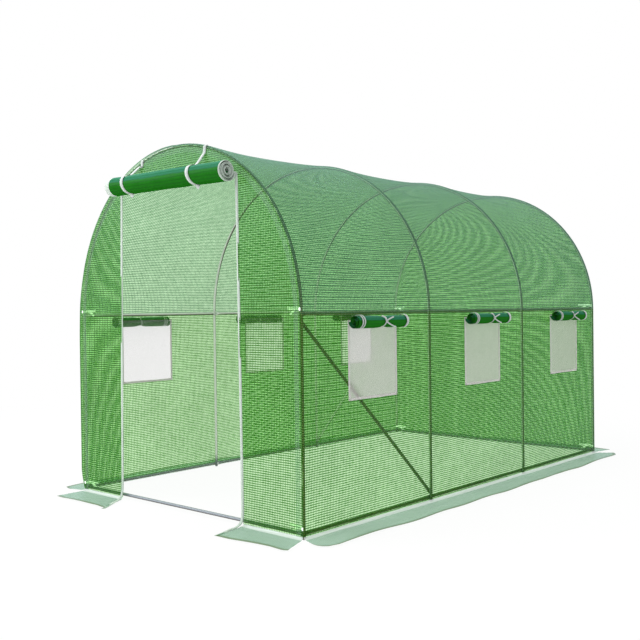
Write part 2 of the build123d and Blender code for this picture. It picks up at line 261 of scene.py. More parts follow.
class Nodes:
    """The node tree of a material or the world, with short ways to add nodes."""

    def __init__(self, owner, output="OutputMaterial"):
        self.owner = owner
        self.owner.use_nodes = True
        self.tree = owner.node_tree
        self.tree.nodes.clear()
        self.output = self.tree.nodes.new("ShaderNode" + output)

    def add(self, kind, inputs=None, **settings):
        node = self.tree.nodes.new("ShaderNode" + kind)
        for key, value in settings.items():
            setattr(node, key, value)
        for key, value in (inputs or {}).items():
            self.put(node.inputs[key], value)
        return node

    def put(self, socket, value):
        if isinstance(value, bpy.types.NodeSocket):
            self.tree.links.new(value, socket)
        elif isinstance(value, tuple) and len(value) == 3 and socket.type == "RGBA":
            socket.default_value = (*value, 1)
        else:
            socket.default_value = value

    def math(self, operation, a, b=0.0):
        return self.add("Math", {0: a, 1: b}, operation=operation).outputs[0]

    def mix(self, factor, a, b, blend="MIX"):
        node = self.add("Mix", {0: factor}, data_type="RGBA", blend_type=blend)
        self.put(node.inputs[6], a)
        self.put(node.inputs[7], b)
        return node.outputs[2]

    def blend(self, factor, a, b):
        return self.add("MixShader", {0: factor, 1: a, 2: b}).outputs[0]

    def noise(self, vector, scale, detail=3.0, roughness=0.55):
        inputs = {"Vector": vector, "Scale": scale, "Detail": detail, "Roughness": roughness}
        return self.add("TexNoise", inputs).outputs["Fac"]

    def spread(self, value, low, high, to_low=0.0, to_high=1.0):
        inputs = {"Value": value, "From Min": low, "From Max": high, "To Min": to_low, "To Max": to_high}
        return self.add("MapRange", inputs, clamp=True).outputs[0]

    def split(self, vector):
        return self.add("SeparateXYZ", {0: vector}).outputs

    def dot(self, a, b):
        return self.add("VectorMath", {0: a, 1: b}, operation="DOT_PRODUCT").outputs["Value"]

    def grey(self, value):
        return self.add("CombineColor", {0: value, 1: value, 2: value}).outputs[0]

    def bump(self, strength, distance, height):
        inputs = {"Strength": strength, "Distance": distance, "Height": height}
        return self.add("Bump", inputs).outputs[0]

    def place(self):
        """The point in the object's own frame."""
        return self.add("TexCoord").outputs["Object"]

    def cloth(self):
        """The point on the flat cloth, in metres along X and Y."""
        return self.split(self.add("UVMap", uv_map="UVMap").outputs["UV"])

    def finish(self, shader):
        self.put(self.output.inputs["Surface"], shader)
        return self.owner


def thread_mask(n, coordinate, period, width):
    """1 on the threads that cross one coordinate, 0 between them."""
    distance = n.math("PINGPONG", coordinate, period / 2)
    return n.math("LESS_THAN", distance, width)


def thread_grid(n, cloth, period, width):
    """1 on the threads of a square grid, 0 between them."""
    return n.math("MAXIMUM", *(thread_mask(n, cloth[axis], period, width) for axis in ("X", "Y")))


def film_material(name, cell, thread, cell_cover, thread_cover, cell_body, thread_body, gloss, hem=None):
    """Clear tinted film with a laid-in square grid of reinforcing threads.

    cell and thread are what shines through; the bodies are what scatters light. hem is the
    width of a skirt's soiled edge, and such a film has a painted highlight: it is painted pale
    where it bends to the ground.
    """
    n = Nodes(bpy.data.materials.new(name))
    cloth = n.cloth()
    place = n.place()
    drift = n.noise(place, 7.0, 2.0)
    shift = n.math("MULTIPLY", n.math("SUBTRACT", drift, 0.5), 0.006)
    along = n.math("ADD", cloth["X"], shift)
    up = n.math("ADD", cloth["Y"], shift)
    patch = n.noise(place, 2.3, 3.0)
    uneven = n.spread(n.noise(place, 31.0, 2.0), 0.3, 0.7, 0.8, 1.2)
    wide = n.math("MULTIPLY", uneven, WEAVE * THREAD_SHARE / 2)
    level = thread_mask(n, up, WEAVE, wide)
    upright = thread_mask(n, along, WEAVE, n.math("MULTIPLY", wide, 0.72))
    grid = n.math("MAXIMUM", level, n.math("MULTIPLY", upright, 0.92))
    facing = n.add("LayerWeight", {"Blend": 0.5}).outputs["Facing"]
    steep = n.math("MULTIPLY", facing, facing)
    worn = n.math("SUBTRACT", n.spread(patch, 0.35, 0.7, 0.93, 1.05), n.math("MULTIPLY", steep, 0.30))
    tint = n.mix(1.0, n.mix(grid, cell, thread), n.grey(worn), "MULTIPLY")
    body = n.mix(grid, cell_body, thread_body)
    cover = n.spread(grid, 0, 1, cell_cover, thread_cover)
    if hem:
        edge = n.math("GREATER_THAN", cloth["Y"], -hem)
        body = n.mix(edge, body, (0.15, 0.20, 0.08))
        cover = n.math("MAXIMUM", cover, n.math("MULTIPLY", edge, 0.62))
        # Painted highlight: the film is made pale and denser along its bend to the ground.
        spot = n.split(place)
        beyond_x = n.math("SUBTRACT", n.math("ABSOLUTE", spot["X"]), FILM_X)
        beyond_y = n.math("SUBTRACT", n.math("ABSOLUTE", spot["Y"]), FILM_Y)
        bend = n.spread(n.math("MAXIMUM", beyond_x, beyond_y), 0.030, 0.016)
        body = n.mix(bend, body, (0.93, 0.97, 0.95))
        cover = n.math("MAXIMUM", cover, n.math("MULTIPLY", bend, 0.7))
    relief = n.math("ADD", grid, n.math("MULTIPLY", n.noise(place, 55.0, 3.0), 0.6))
    bump = n.bump(0.35, 0.0012, relief)
    clear = n.add("BsdfTransparent", {"Color": tint}).outputs[0]
    roughness = n.spread(patch, 0.3, 0.7, 0.34, 0.46)
    surface = n.add(
        "BsdfPrincipled", {"Base Color": body, "Roughness": roughness, "Normal": bump}
    ).outputs[0]
    through = n.add("BsdfTranslucent", {"Color": body, "Normal": bump}).outputs[0]
    sheet = n.blend(cover, clear, n.blend(0.4, surface, through))
    sheen = n.math("ADD", n.math("MULTIPLY", n.math("POWER", facing, 2.5), gloss), 0.004)
    shine = n.add(
        "BsdfGlossy", {"Color": (0.42, 0.68, 0.72), "Roughness": 0.30, "Normal": bump}
    ).outputs[0]
    return n.finish(n.blend(sheen, sheet, shine))


def rolled_material():
    """Many layers of film on each other: deep green, with a painted teal sheen of the light from above on the
    side that faces up.
    """
    n = Nodes(bpy.data.materials.new("rolled_film"))
    place = n.place()
    up = n.split(n.add("NewGeometry").outputs["Normal"])["Z"]
    patch = n.noise(place, 14.0, 4.0)
    shaken = n.math("ADD", up, n.math("MULTIPLY", n.math("SUBTRACT", patch, 0.5), 0.25))
    # Painted sheen: the upward side turns teal, and paler still at the very top, for the light from above.
    top_sheen = n.spread(shaken, 0.20, 0.34)
    deep = n.mix(patch, (0.004, 0.115, 0.0), (0.010, 0.175, 0.001))
    color = n.mix(top_sheen, deep, (0.020, 0.16, 0.075))
    color = n.mix(n.spread(shaken, 0.55, 0.95, 0.0, 0.6), color, (0.09, 0.27, 0.20))
    grid = thread_grid(n, n.cloth(), WEAVE, 0.002)
    color = n.mix(n.math("MULTIPLY", grid, 0.35), color, (0.004, 0.05, 0.004))
    relief = n.math("ADD", n.math("MULTIPLY", grid, 0.5), n.noise(place, 40.0, 4.0))
    bump = n.bump(0.3, 0.002, relief)
    body = n.add("BsdfDiffuse", {"Color": color, "Normal": bump}).outputs[0]
    roughness = n.spread(patch, 0.3, 0.7, 0.35, 0.5)
    gloss = n.add(
        "BsdfGlossy", {"Color": (0.6, 0.9, 0.8), "Roughness": roughness, "Normal": bump}
    ).outputs[0]
    return n.finish(n.blend(0.014, body, gloss))


def webbing_material(name, light, dark, pitch=0.0022, thin=0.0, glow=0.0):
    """Woven polyester tape with its diagonal ribs.

    thin is the share of light it lets through, and glow the strength of a light of its own.
    """
    n = Nodes(bpy.data.materials.new(name))
    cloth = n.cloth()
    ribs = n.math("PINGPONG", n.math("ADD", cloth["X"], cloth["Y"]), pitch / 2)
    ribs = n.spread(ribs, 0.0, pitch / 2)
    soiled = n.noise(n.place(), 25.0, 4.0)
    color = n.mix(n.math("MULTIPLY", ribs, n.spread(soiled, 0.3, 0.7, 0.4, 1.0)), dark, light)
    surface = n.add(
        "BsdfPrincipled",
        {"Base Color": color, "Roughness": 0.75, "Normal": n.bump(0.5, 0.0006, ribs), "Sheen Weight": 0.2,
         "Emission Color": (0.95, 1.0, 0.95), "Emission Strength": glow},
    ).outputs[0]
    if thin:
        clear = n.add("BsdfTransparent", {"Color": (0.98, 0.97, 0.97)}).outputs[0]
        surface = n.blend(thin, surface, clear)
    return n.finish(surface)


def net_material():
    """Fine insect net, seen as a grey veil that is denser in the right wall."""
    n = Nodes(bpy.data.materials.new("insect_net"))
    place = n.place()
    mesh = thread_grid(n, n.cloth(), NET_PITCH, NET_THREAD)
    veil = n.noise(place, 9.0, 3.0)
    color = n.mix(veil, (0.60, 0.55, 0.57), (0.64, 0.59, 0.61))
    cover = n.math("MULTIPLY", n.spread(mesh, 0, 1, 0.42, 0.86), n.spread(veil, 0.3, 0.7, 0.97, 1.03))
    # The net is made denser towards +X: thinner in the left wall, denser in the right.
    right_denser = n.spread(n.split(place)["X"], -1.0, 1.0, 0.46, 1.16)
    cover = n.math("MULTIPLY", cover, right_denser)
    clear = n.add("BsdfTransparent", {"Color": (0.98, 0.98, 0.98)}).outputs[0]
    thread = n.add("BsdfPrincipled", {"Base Color": color, "Roughness": 0.7}).outputs[0]
    through = n.add("BsdfTranslucent", {"Color": color}).outputs[0]
    return n.finish(n.blend(cover, clear, n.blend(0.55, thread, through)))


def steel_material():
    """Galvanised tube: grey zinc with faint spangle.

    It has painted shade: it is dark brown on the sides turned down, to the left or to the back,
    and painted dark and tinted by the film's shadow on its outer side. It is soiled near the ground.
    Its pale side has a faint painted light of its own.
    """
    n = Nodes(bpy.data.materials.new("galvanised_steel"))
    place = n.place()
    spangle = n.add("TexVoronoi", {"Vector": place, "Scale": 160.0}).outputs["Color"]
    cloud = n.noise(place, 12.0, 4.0)
    color = n.mix(cloud, (0.52, 0.51, 0.50), (0.66, 0.655, 0.65))
    color = n.mix(n.math("MULTIPLY", n.split(spangle)["X"], 0.18), color, (0.70, 0.71, 0.73))
    normal = n.add("NewGeometry").outputs["Normal"]
    # Painted shade: the sides turned away from a fixed light direction go dark brown.
    toward_light = n.dot(normal, (0.40, -0.45, 0.80))
    painted_shade = n.spread(toward_light, 0.34, 0.08, 0.0, 0.92)
    spot = n.split(place)
    soiled = n.spread(spot["Z"], 0.10, 0.045)
    color = n.mix(soiled, color, (0.27, 0.29, 0.33))
    color = n.mix(painted_shade, color, (0.075, 0.058, 0.038))
    # Painted shade: the tube's outer side under the film is darkened, olive below the rail and teal above it,
    # for the light that passes the film.
    rise = n.math("MAXIMUM", n.math("SUBTRACT", spot["Z"], RAIL), 0.0)
    outward = n.add("CombineXYZ", {"X": spot["X"], "Y": 0.0, "Z": rise}).outputs[0]
    outer = n.spread(n.dot(normal, outward), 0.1, 0.4, 0.0, 0.9)
    film_shade_tint = n.mix(n.spread(spot["Z"], RAIL, RAIL + 0.3), (0.115, 0.090, 0.018), (0.016, 0.080, 0.085))
    color = n.mix(outer, color, film_shade_tint)
    dark = n.math("MAXIMUM", n.math("MAXIMUM", painted_shade, outer), soiled)
    # Painted light: the sides not in painted shade glow a little with a light of their own.
    lit = n.math("MULTIPLY", n.math("SUBTRACT", 1.0, dark), 0.16)
    roughness = n.spread(cloud, 0.3, 0.7, 0.34, 0.50)
    bump = n.bump(0.15, 0.0004, n.noise(place, 220.0, 3.0))
    surface = n.add(
        "BsdfPrincipled",
        {"Base Color": color, "Metallic": 0.25, "Roughness": roughness, "Specular IOR Level": 0.25,
         "Emission Color": (1.0, 0.98, 0.96), "Emission Strength": lit, "Normal": bump},
    ).outputs[0]
    return n.finish(surface)


def zinc_material():
    """Bright zinc plating of bolts, nuts and washers."""
    n = Nodes(bpy.data.materials.new("zinc_plating"))
    cloud = n.noise(n.place(), 300.0, 3.0)
    color = n.mix(cloud, (0.55, 0.56, 0.58), (0.72, 0.73, 0.74))
    surface = n.add(
        "BsdfPrincipled",
        {"Base Color": color, "Metallic": 0.8, "Roughness": n.spread(cloud, 0.3, 0.7, 0.25, 0.4)},
    ).outputs[0]
    return n.finish(surface)


FILM = film_material(
    "cover_film", cell=(0.71, 1.0, 0.62), thread=(0.015, 0.14, 0.005), cell_cover=0.07,
    thread_cover=0.26, cell_body=(0.36, 0.84, 0.16), thread_body=(0.11, 0.47, 0.01), gloss=0.17,
)
# The roof's film is a copy of the cover film with bluer, paler bodies and more gloss: a painted sheen of the
# light from above on the top of the tunnel.
PAINTED_SHEEN_ROOF_FILM = film_material(
    "roof_film", cell=(0.72, 0.99, 0.66), thread=(0.025, 0.14, 0.045), cell_cover=0.10,
    thread_cover=0.26, cell_body=(0.50, 0.86, 0.54), thread_body=(0.20, 0.48, 0.20), gloss=0.22,
)
# The skirt film is a copy of the cover film made pale and bluish mint: a painted sheen of the light from
# above on film that lies face up.
PAINTED_SHEEN_SKIRT_FILM = film_material(
    "skirt_film", cell=(0.76, 0.95, 0.80), thread=(0.26, 0.42, 0.28), cell_cover=0.22,
    thread_cover=0.28, cell_body=(0.66, 0.94, 0.80), thread_body=(0.26, 0.54, 0.38), gloss=0.16, hem=0.022,
)
HEM_FILM = film_material(
    "hem_film", cell=(0.95, 0.99, 0.94), thread=(0.66, 0.80, 0.64), cell_cover=0.20,
    thread_cover=0.22, cell_body=(0.62, 0.90, 0.64), thread_body=(0.42, 0.70, 0.44), gloss=0.05,
)
ROLLED = rolled_material()
WEBBING = webbing_material("white_webbing", (0.64, 0.68, 0.66), (0.46, 0.50, 0.48))
# The post ties glow with a painted light of their own, of strength 0.80, which real webbing doesn't give.
POST_TIE = webbing_material("post_tie_webbing", (0.90, 0.92, 0.90), (0.75, 0.78, 0.75), glow=0.80)
BINDING = webbing_material("pale_binding", (0.60, 0.67, 0.61), (0.46, 0.53, 0.47), pitch=0.003)
WINDOW_BINDING = webbing_material(
    "window_binding", (0.86, 0.82, 0.81), (0.78, 0.74, 0.73), pitch=0.003, thin=0.40
)
NET = net_material()
STEEL = steel_material()
ZINC = zinc_material()


def place_piece(obj, slot, *nodes):
    """The piece rides on the one body and stands for nodes, which it hides; slot is not used."""
    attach(obj, "root")
    if nodes:
        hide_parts(*nodes)


# Steel

def dress_steel():
    """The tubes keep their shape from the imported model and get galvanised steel."""
    names = [n for n in frame["nodes"] if n.startswith("hoop_") or n.endswith(("_rail", "_brace"))]
    for name in names:
        materials = frame["nodes"][name].data.materials
        if not len(materials):
            materials.append(STEEL)
        for i in range(len(materials)):
            materials[i] = STEEL


def prism(x, y, z, radius, depth, side, corners):
    """A short prism along X at one point, pointing to the inside of the wall on that side."""
    verts = []
    for k in range(2):
        for i in range(corners):
            a = 2 * math.pi * i / corners
            verts.append((x - side * depth * k, y + radius * math.cos(a), z + radius * math.sin(a)))
    faces = [(i, (i + 1) % corners, corners + (i + 1) % corners, corners + i) for i in range(corners)]
    faces += [tuple(range(corners)), tuple(reversed(range(corners, 2 * corners)))]
    if side > 0:
        faces = [tuple(reversed(f)) for f in faces]
    return verts, faces, [(v[1], v[2]) for v in verts]


def bolts():
    """Washer, nut and bolt end on every pressed tube end, or on the upper one of two lapped."""
    seat = TUBE + LAP_GAP + PRESSED_END
    lapped = seat + LAP_GAP + PRESSED_END
    places = []
    for i, y in enumerate(HOOPS):
        places.append((lapped if i in (1, 2) else seat, y, RAIL))
        places.append((lapped, y, GROUND_RAIL))
    for side in (1, -1):
        near, far = (0, 1) if side > 0 else (3, 2)
        brace_head = (seat, HOOPS[near] + side * 0.004, RAIL - 0.036)
        brace_foot = (seat, HOOPS[far], GROUND_RAIL + 0.036)
        parts = []
        for reach, y, z in places + [brace_head, brace_foot]:
            x = side * (HALF_WIDTH - reach)
            for radius, depth, corners in FASTENERS:
                parts.append(prism(x, y, z, radius, depth, side, corners))
                x -= side * depth
        obj = joined(side_name(side) + "_bolts", parts, ZINC)
        obj.data.polygons.foreach_set("use_smooth", [False] * len(obj.data.polygons))
        place_piece(obj, "galvanised_tube")


# Cover

def wrap_front(steps=5):
    """The film's way round the front hoop's tube: (y, distance from the tunnel's axis)."""
    out = []
    for k in range(steps):
        a = math.pi / 2 * (1 - k / steps)
        out.append((-HALF_LENGTH - FILM_REACH * math.sin(a), HALF_WIDTH + FILM_REACH * math.cos(a)))
    return out


def bay_stations(i, inner):
    """Stations along one bay: (y, distance from the axis, share of the way through the bay)."""
    start, end = HOOPS[i], HOOPS[i + 1]
    stations = [(y, FILM_X, (y - start) / (end - start)) for y in inner]
    if i == 0:
        stations = [(y, r, 0.0) for y, r in wrap_front()] + stations
    if i == 2:
        stations += [(-y, r, 1.0) for y, r in reversed(wrap_front())]
    return stations


def slack(side, y, z):
    """How far the loose cover stands off the front left post and arch."""
    if side > 0:
        return 0.0
    near = max(0.0, 1 - (y + FILM_Y) / SLACK_LENGTH) ** 1.6
    reach = SLACK + SLACK_BELOW * min(1.0, max(0.0, (RAIL + 0.25 - z) / 0.4))
    return near * reach * min(1.0, z / 0.12)


def roof_film(i):
    """One bay of the roof: stretched from hoop to hoop and sunk a little between them."""
    count = 41
    inner = [HOOPS[i] + BAY * k / (count - 1) for k in range(count)]
    angles = np.linspace(0, math.pi, 97)
    flat = 0 * angles
    rows, uvs = [], []
    for y, radius, t in bay_stations(i, inner):
        swell = 1 - abs(2 * t - 1) ** 2.2
        fold = 0.0022 * swell * waves(y * 0.6, angles * 1.6, 11 + i)
        crease = 0.0012 * swell * np.sin(angles * 23 + 3 * t + i) * np.sin(angles) ** 2
        loose = np.array(
            [slack(-1, y, RAIL + math.sin(a)) * max(0.0, -math.cos(a)) ** 0.5 for a in angles]
        )
        up = radius - ROOF_SAG * swell + fold + crease + loose
        out = radius - 0.004 * swell * np.sin(angles) ** 2 + fold * np.sin(angles) + loose
        rows.append(np.stack([out * np.cos(angles), y + flat, RAIL + up * np.sin(angles)], 1))
        uvs.append(np.stack([y + flat, angles * FILM_X], 1))
    obj = grid_object(f"roof_film_{i + 1}", rows, uvs, PAINTED_SHEEN_ROOF_FILM)
    place_piece(obj, "cover_film", f"roof_bay_{i + 1}")


def wall_film(i, side):
    """One bay of a wall, with its window cut out."""
    middle = window_middle(i, side)
    left, right = middle - WINDOW_HALF, middle + WINDOW_HALF
    inner = chained((HOOPS[i], left, 0.04), (left, right, 0.04), (right, HOOPS[i + 1], 0.04))
    stations = bay_stations(i, inner)
    heights = np.array(
        chained((SKIRT_RISE, WINDOW_LOW, 0.045), (WINDOW_LOW, WINDOW_TOP, 0.045), (WINDOW_TOP, RAIL, 0.03))
    )
    tall = np.clip((heights - SKIRT_RISE) / (RAIL - SKIRT_RISE), 0, 1)
    rows, uvs = [], []
    for y, radius, t in stations:
        held = np.sin(math.pi * min(max(t, 0), 1)) ** 0.7 * np.sin(math.pi * tall) ** 0.6
        push = held * (0.0028 * waves(y * 1.1, heights * 0.7, 40 + i) - 0.003)
        loose = np.array([slack(side, y, z) for z in heights])
        rows.append(np.stack([side * (radius + push + loose), y + 0 * heights, heights], 1))
        uvs.append(np.stack([y + 0 * heights, heights - RAIL], 1))

    def keep(r, c):
        y = (stations[r][0] + stations[r + 1][0]) / 2
        z = (heights[c] + heights[c + 1]) / 2
        return not (left < y < right and WINDOW_LOW < z < WINDOW_TOP)

    name = side_name(side)
    obj = grid_object(f"{name}_wall_film_{i + 1}", rows, uvs, FILM, keep)
    place_piece(obj, "cover_film", f"{name}_wall_bay_{i + 1}")


def arch_height(x):
    """Height of the front film's edge at x."""
    return RAIL + math.sqrt(max(0.0, HALF_WIDTH**2 - x * x))


def arch_width(z):
    """Half width of the front film at height z."""
    return HALF_WIDTH if z <= RAIL else math.sqrt(max(0.0, HALF_WIDTH**2 - (z - RAIL) ** 2))


def door_edge(side, z):
    """Where the edge of the doorway hangs; the flaps lean a little towards the posts."""
    low = 1 - min(max(z / DOOR_TOP, 0), 1)
    return side * (DOOR_HALF + DOOR_LEAN[side] * low**0.8)


def front_film(side):
    """The front film beside the doorway."""
    top = arch_height(DOOR_HALF)
    shares = np.linspace(0, 1, 15)
    rows, uvs = [], []
    for z in chained((SKIRT_RISE, RAIL, 0.045), (RAIL, DOOR_TOP, 0.03), (DOOR_TOP, top, 0.008)):
        inside = min(abs(door_edge(side, z)), arch_width(z))
        outside = arch_width(z) + slack(side, -FILM_Y, z)
        x = side * (inside + (outside - inside) * shares)
        loose = 0.006 * (1 - shares) * math.sin(math.pi * min(1, (z - SKIRT_RISE) / (top - SKIRT_RISE)))
        y = -FILM_Y - loose * (1 + waves(z * 1.0, 0.3 + shares * 0.3, 70 + side)) / 2
        rows.append(np.stack([x, y, z + 0 * x], 1))
        uvs.append(np.stack([x, z + 0 * x], 1))
    name = side_name(side)
    obj = grid_object(f"front_film_{name}", rows, uvs, FILM)
    place_piece(obj, "cover_film", f"front_panel_{name}")


def front_film_top():
    """The front film over the doorway."""
    shares = np.linspace(0, 1, 9)
    rows, uvs = [], []
    for x in np.linspace(-DOOR_HALF, DOOR_HALF, 45):
        z = DOOR_TOP + (arch_height(x) - DOOR_TOP) * shares
        y = -FILM_Y - 0.002 * np.sin(math.pi * shares) * (1 + waves(x, z, 77)) / 2
        rows.append(np.stack([x + 0 * z, y, z], 1))
        uvs.append(np.stack([x + 0 * z, z], 1))
    obj = grid_object("front_film_top", rows, uvs, FILM)
    place_piece(obj, "cover_film", "front_panel_top")


def back_film():
    """The closed back end."""
    levels = spaced(SKIRT_RISE, RAIL, 0.05)[:-1]
    levels += [RAIL + math.sin(a) for a in np.linspace(0, 1.5, 26)] + [RAIL + 0.9999]
    shares = np.linspace(-1, 1, 41)
    rows, uvs = [], []
    for z in levels:
        x = arch_width(z) * shares
        held = (1 - shares**2) * math.sin(math.pi * min(1, (z - SKIRT_RISE) / (RAIL + 1 - SKIRT_RISE)))
        y = FILM_Y + 0.004 * held * waves(x, z + 0 * x, 90)
        rows.append(np.stack([x, y, z + 0 * x], 1))
        uvs.append(np.stack([x, z + 0 * x], 1))
    obj = grid_object("back_film", rows, uvs, FILM)
    place_piece(obj, "cover_film", "back_panel")


def front_hem(width):
    """The doubled hem that runs up one post, round the arch and down the other."""
    y = -FILM_Y - 0.0014
    levels = spaced(SKIRT_RISE, RAIL, 0.06)[:-1]
    outline = [(HALF_WIDTH, z) for z in levels]
    for a in np.linspace(0, math.pi, 81):
        outline.append((HALF_WIDTH * math.cos(a), RAIL + HALF_WIDTH * math.sin(a)))
    outline += [(-HALF_WIDTH, z) for z in reversed(levels)]
    rows, uvs = [], []
    length = 0.0
    for k, (x, z) in enumerate(outline):
        if k:
            length += math.hypot(x - outline[k - 1][0], z - outline[k - 1][1])
        inward = Vector((-x, 0, min(RAIL - z, 0))).normalized()
        steps = (0.0, 0.5, 1.0)
        rows.append([tuple(Vector((x, y, z)) + inward * (0.0115 + width * s)) for s in steps])
        uvs.append([(length, width * s) for s in steps])
    obj = grid_object("front_hem", rows, uvs, HEM_FILM)
    place_piece(obj, "cover_film")


# Skirts

def along(outline, count):
    """count points evenly along an outline."""
    pts = np.array(outline, float)
    steps = np.concatenate([[0], np.cumsum(np.hypot(*np.diff(pts, axis=0).T))])
    at = np.linspace(0, steps[-1], count)
    return np.stack([np.interp(at, steps, pts[:, k]) for k in range(2)], 1)


def skirt(name, node, inner, outer, seed, count):
    """Loose film from the foot of the cover out over the ground.

    inner is the line of the wall's foot and outer the edge on the ground, both in plan.
    """
    profile = [(0.0, 1.0), (0.004, 0.72), (0.018, 0.42), (0.045, 0.18), (0.09, 0.05), (0.16, 0.0)]
    profile += [(0.16 + 0.84 * k / 12, 0.0) for k in range(1, 13)]
    t = np.array([p[0] for p in profile])
    rise = np.array([p[1] for p in profile]) * SKIRT_RISE
    flat = 0 * t
    rows, uvs = [], []
    for foot, edge in zip(along(inner, count), along(outer, count)):
        x, y = foot
        reach = float(np.hypot(*(edge - foot)))
        frill = 0.5 + 0.5 * waves(x * 1.4 + flat, y * 1.4 + t * 0.15, seed)
        pucker = np.clip(waves(x * 0.8 + flat, y * 0.8 + t * 1.8, seed + 3, 1.6), 0, 1.3)
        lift = 0.013 * np.clip(t - 0.10, 0, 1) * np.clip(frill, 0, 1.4) + 0.0035 * pucker * (t > 0.05)
        z = 0.0016 + rise * 0.968 + lift
        wave = 0.012 * waves(x + flat, y + flat, seed + 1, 1.3) * t**2
        direction = (edge - foot) / max(reach, 1e-6)
        plan = foot + np.outer(t * reach + wave, direction)
        rows.append(np.stack([plan[:, 0], plan[:, 1], z], 1))
        uvs.append(np.stack([x + y + flat, (t - 1) * reach], 1))
    obj = grid_object(name, rows, uvs, PAINTED_SHEEN_SKIRT_FILM)
    place_piece(obj, "skirt_film", node)
    node.split("_")[0] + "_ground_rail"


def skirts():
    """The five skirts: two beside the doorway, one a side and one at the back."""
    x, y = FILM_X, FILM_Y
    skirt("front_skirt_right", "front_right_skirt",
          [(0.550, -y), (0.8, -y), (1.003, -y)],
          [SKIRT_CORNERS[1], (0.70, -1.987), (0.974, -1.967), (1.07, -1.974), (1.095, -1.958)], 5, 25)
    skirt("front_skirt_left", "front_left_skirt",
          [(-1.003, -y), (-0.8, -y), (-0.573, -y)],
          [(-0.985, -1.972), (-0.90, -1.985), (-0.533, -1.976), SKIRT_CORNERS[-1]], 6, 25)
    skirt("skirt_right", "right_skirt",
          [(x, -y), (x, 0), (x, y)],
          [(1.125, -1.803), (1.172, -1.806), (1.205, -1.78), (1.226, -1.716), (1.229, -0.8),
           (1.222, 0.471), (1.205, 1.40), (1.192, 1.73), (1.15, 1.79)], 7, 121)
    skirt("skirt_left", "left_skirt",
          [(-x, -y), (-x, 0), (-x, y)],
          [(-1.12, -1.80), (-1.203, -1.772), (-1.222, -1.7), (-1.215, 0.0), (-1.225, 1.2),
           (-1.2, 1.77), (-1.13, 1.80)], 8, 121)
    skirt("skirt_back", "back_skirt",
          [(-1.003, y), (0, y), (1.003, y)],
          [(-1.08, 1.955), (-0.5, 1.965), (0.3, 1.955), (1.05, 1.958)], 9, 71)


# Windows

def frame_strips(center, half, low, high, x, width):
    """A mitred frame of binding round a window opening, open at the top."""
    outer = [(center - half, high), (center - half, low), (center + half, low), (center + half, high)]
    inner = [(center - half + width, high), (center - half + width, low + width),
             (center + half - width, low + width), (center + half - width, high)]
    count = 15
    parts = []
    for k in range(3):
        verts, uvs = [], []
        for i in range(count):
            t = i / (count - 1)
            far, near = ([p[k][q] + (p[k + 1][q] - p[k][q]) * t for q in range(2)] for p in (outer, inner))
            wave = 0.0006 * math.sin(9 * t + k + 7 * center)
            for (y, z), face in ((far, -1), (near, -1), (near, 1), (far, 1)):
                verts.append((x + face * 0.0009, y + wave, z + wave))
                uvs.append((far[0] + far[1], y + z))
        parts.append((verts, bar_faces(count), uvs))
    return parts


def mirrored_parts(parts, side):
    """The parts themselves, or their mirror images on the left side."""
    if side > 0:
        return parts
    return [([(-v[0], v[1], v[2]) for v in verts], [tuple(reversed(f)) for f in faces], uvs)
            for verts, faces, uvs in parts]


def window_net(i, side):
    """The net of one window and the binding round it."""
    name = side_name(side)
    middle = window_middle(i, side)
    ys = np.linspace(middle - WINDOW_HALF, middle + WINDOW_HALF, 15)
    zs = np.linspace(WINDOW_LOW, WINDOW_TOP, 15)
    rows, uvs = [], []
    for y in ys:
        t = (y - ys[0]) / (2 * WINDOW_HALF)
        u = (zs - zs[0]) / (zs[-1] - zs[0])
        bulge = 0.004 * math.sin(math.pi * t) * np.sin(math.pi * u) * (1 + 0.5 * waves(y, zs, 130 + i))
        rows.append(np.stack([side * (FILM_X - 0.001 - bulge), y + 0 * zs, zs], 1))
        uvs.append(np.stack([y + 0 * zs, zs], 1))
    net = grid_object(f"{name}_net_{i + 1}", rows, uvs, NET)
    place_piece(net, "insect_net", f"{name}_window_nets")
    strips = frame_strips(middle, WINDOW_HALF + 0.002, WINDOW_LOW - 0.002, WINDOW_TOP, FILM_X + 0.0002, 0.015)
    binding = joined(f"{name}_window_binding_{i + 1}", mirrored_parts(strips, side), WINDOW_BINDING)
    place_piece(binding, "webbing")


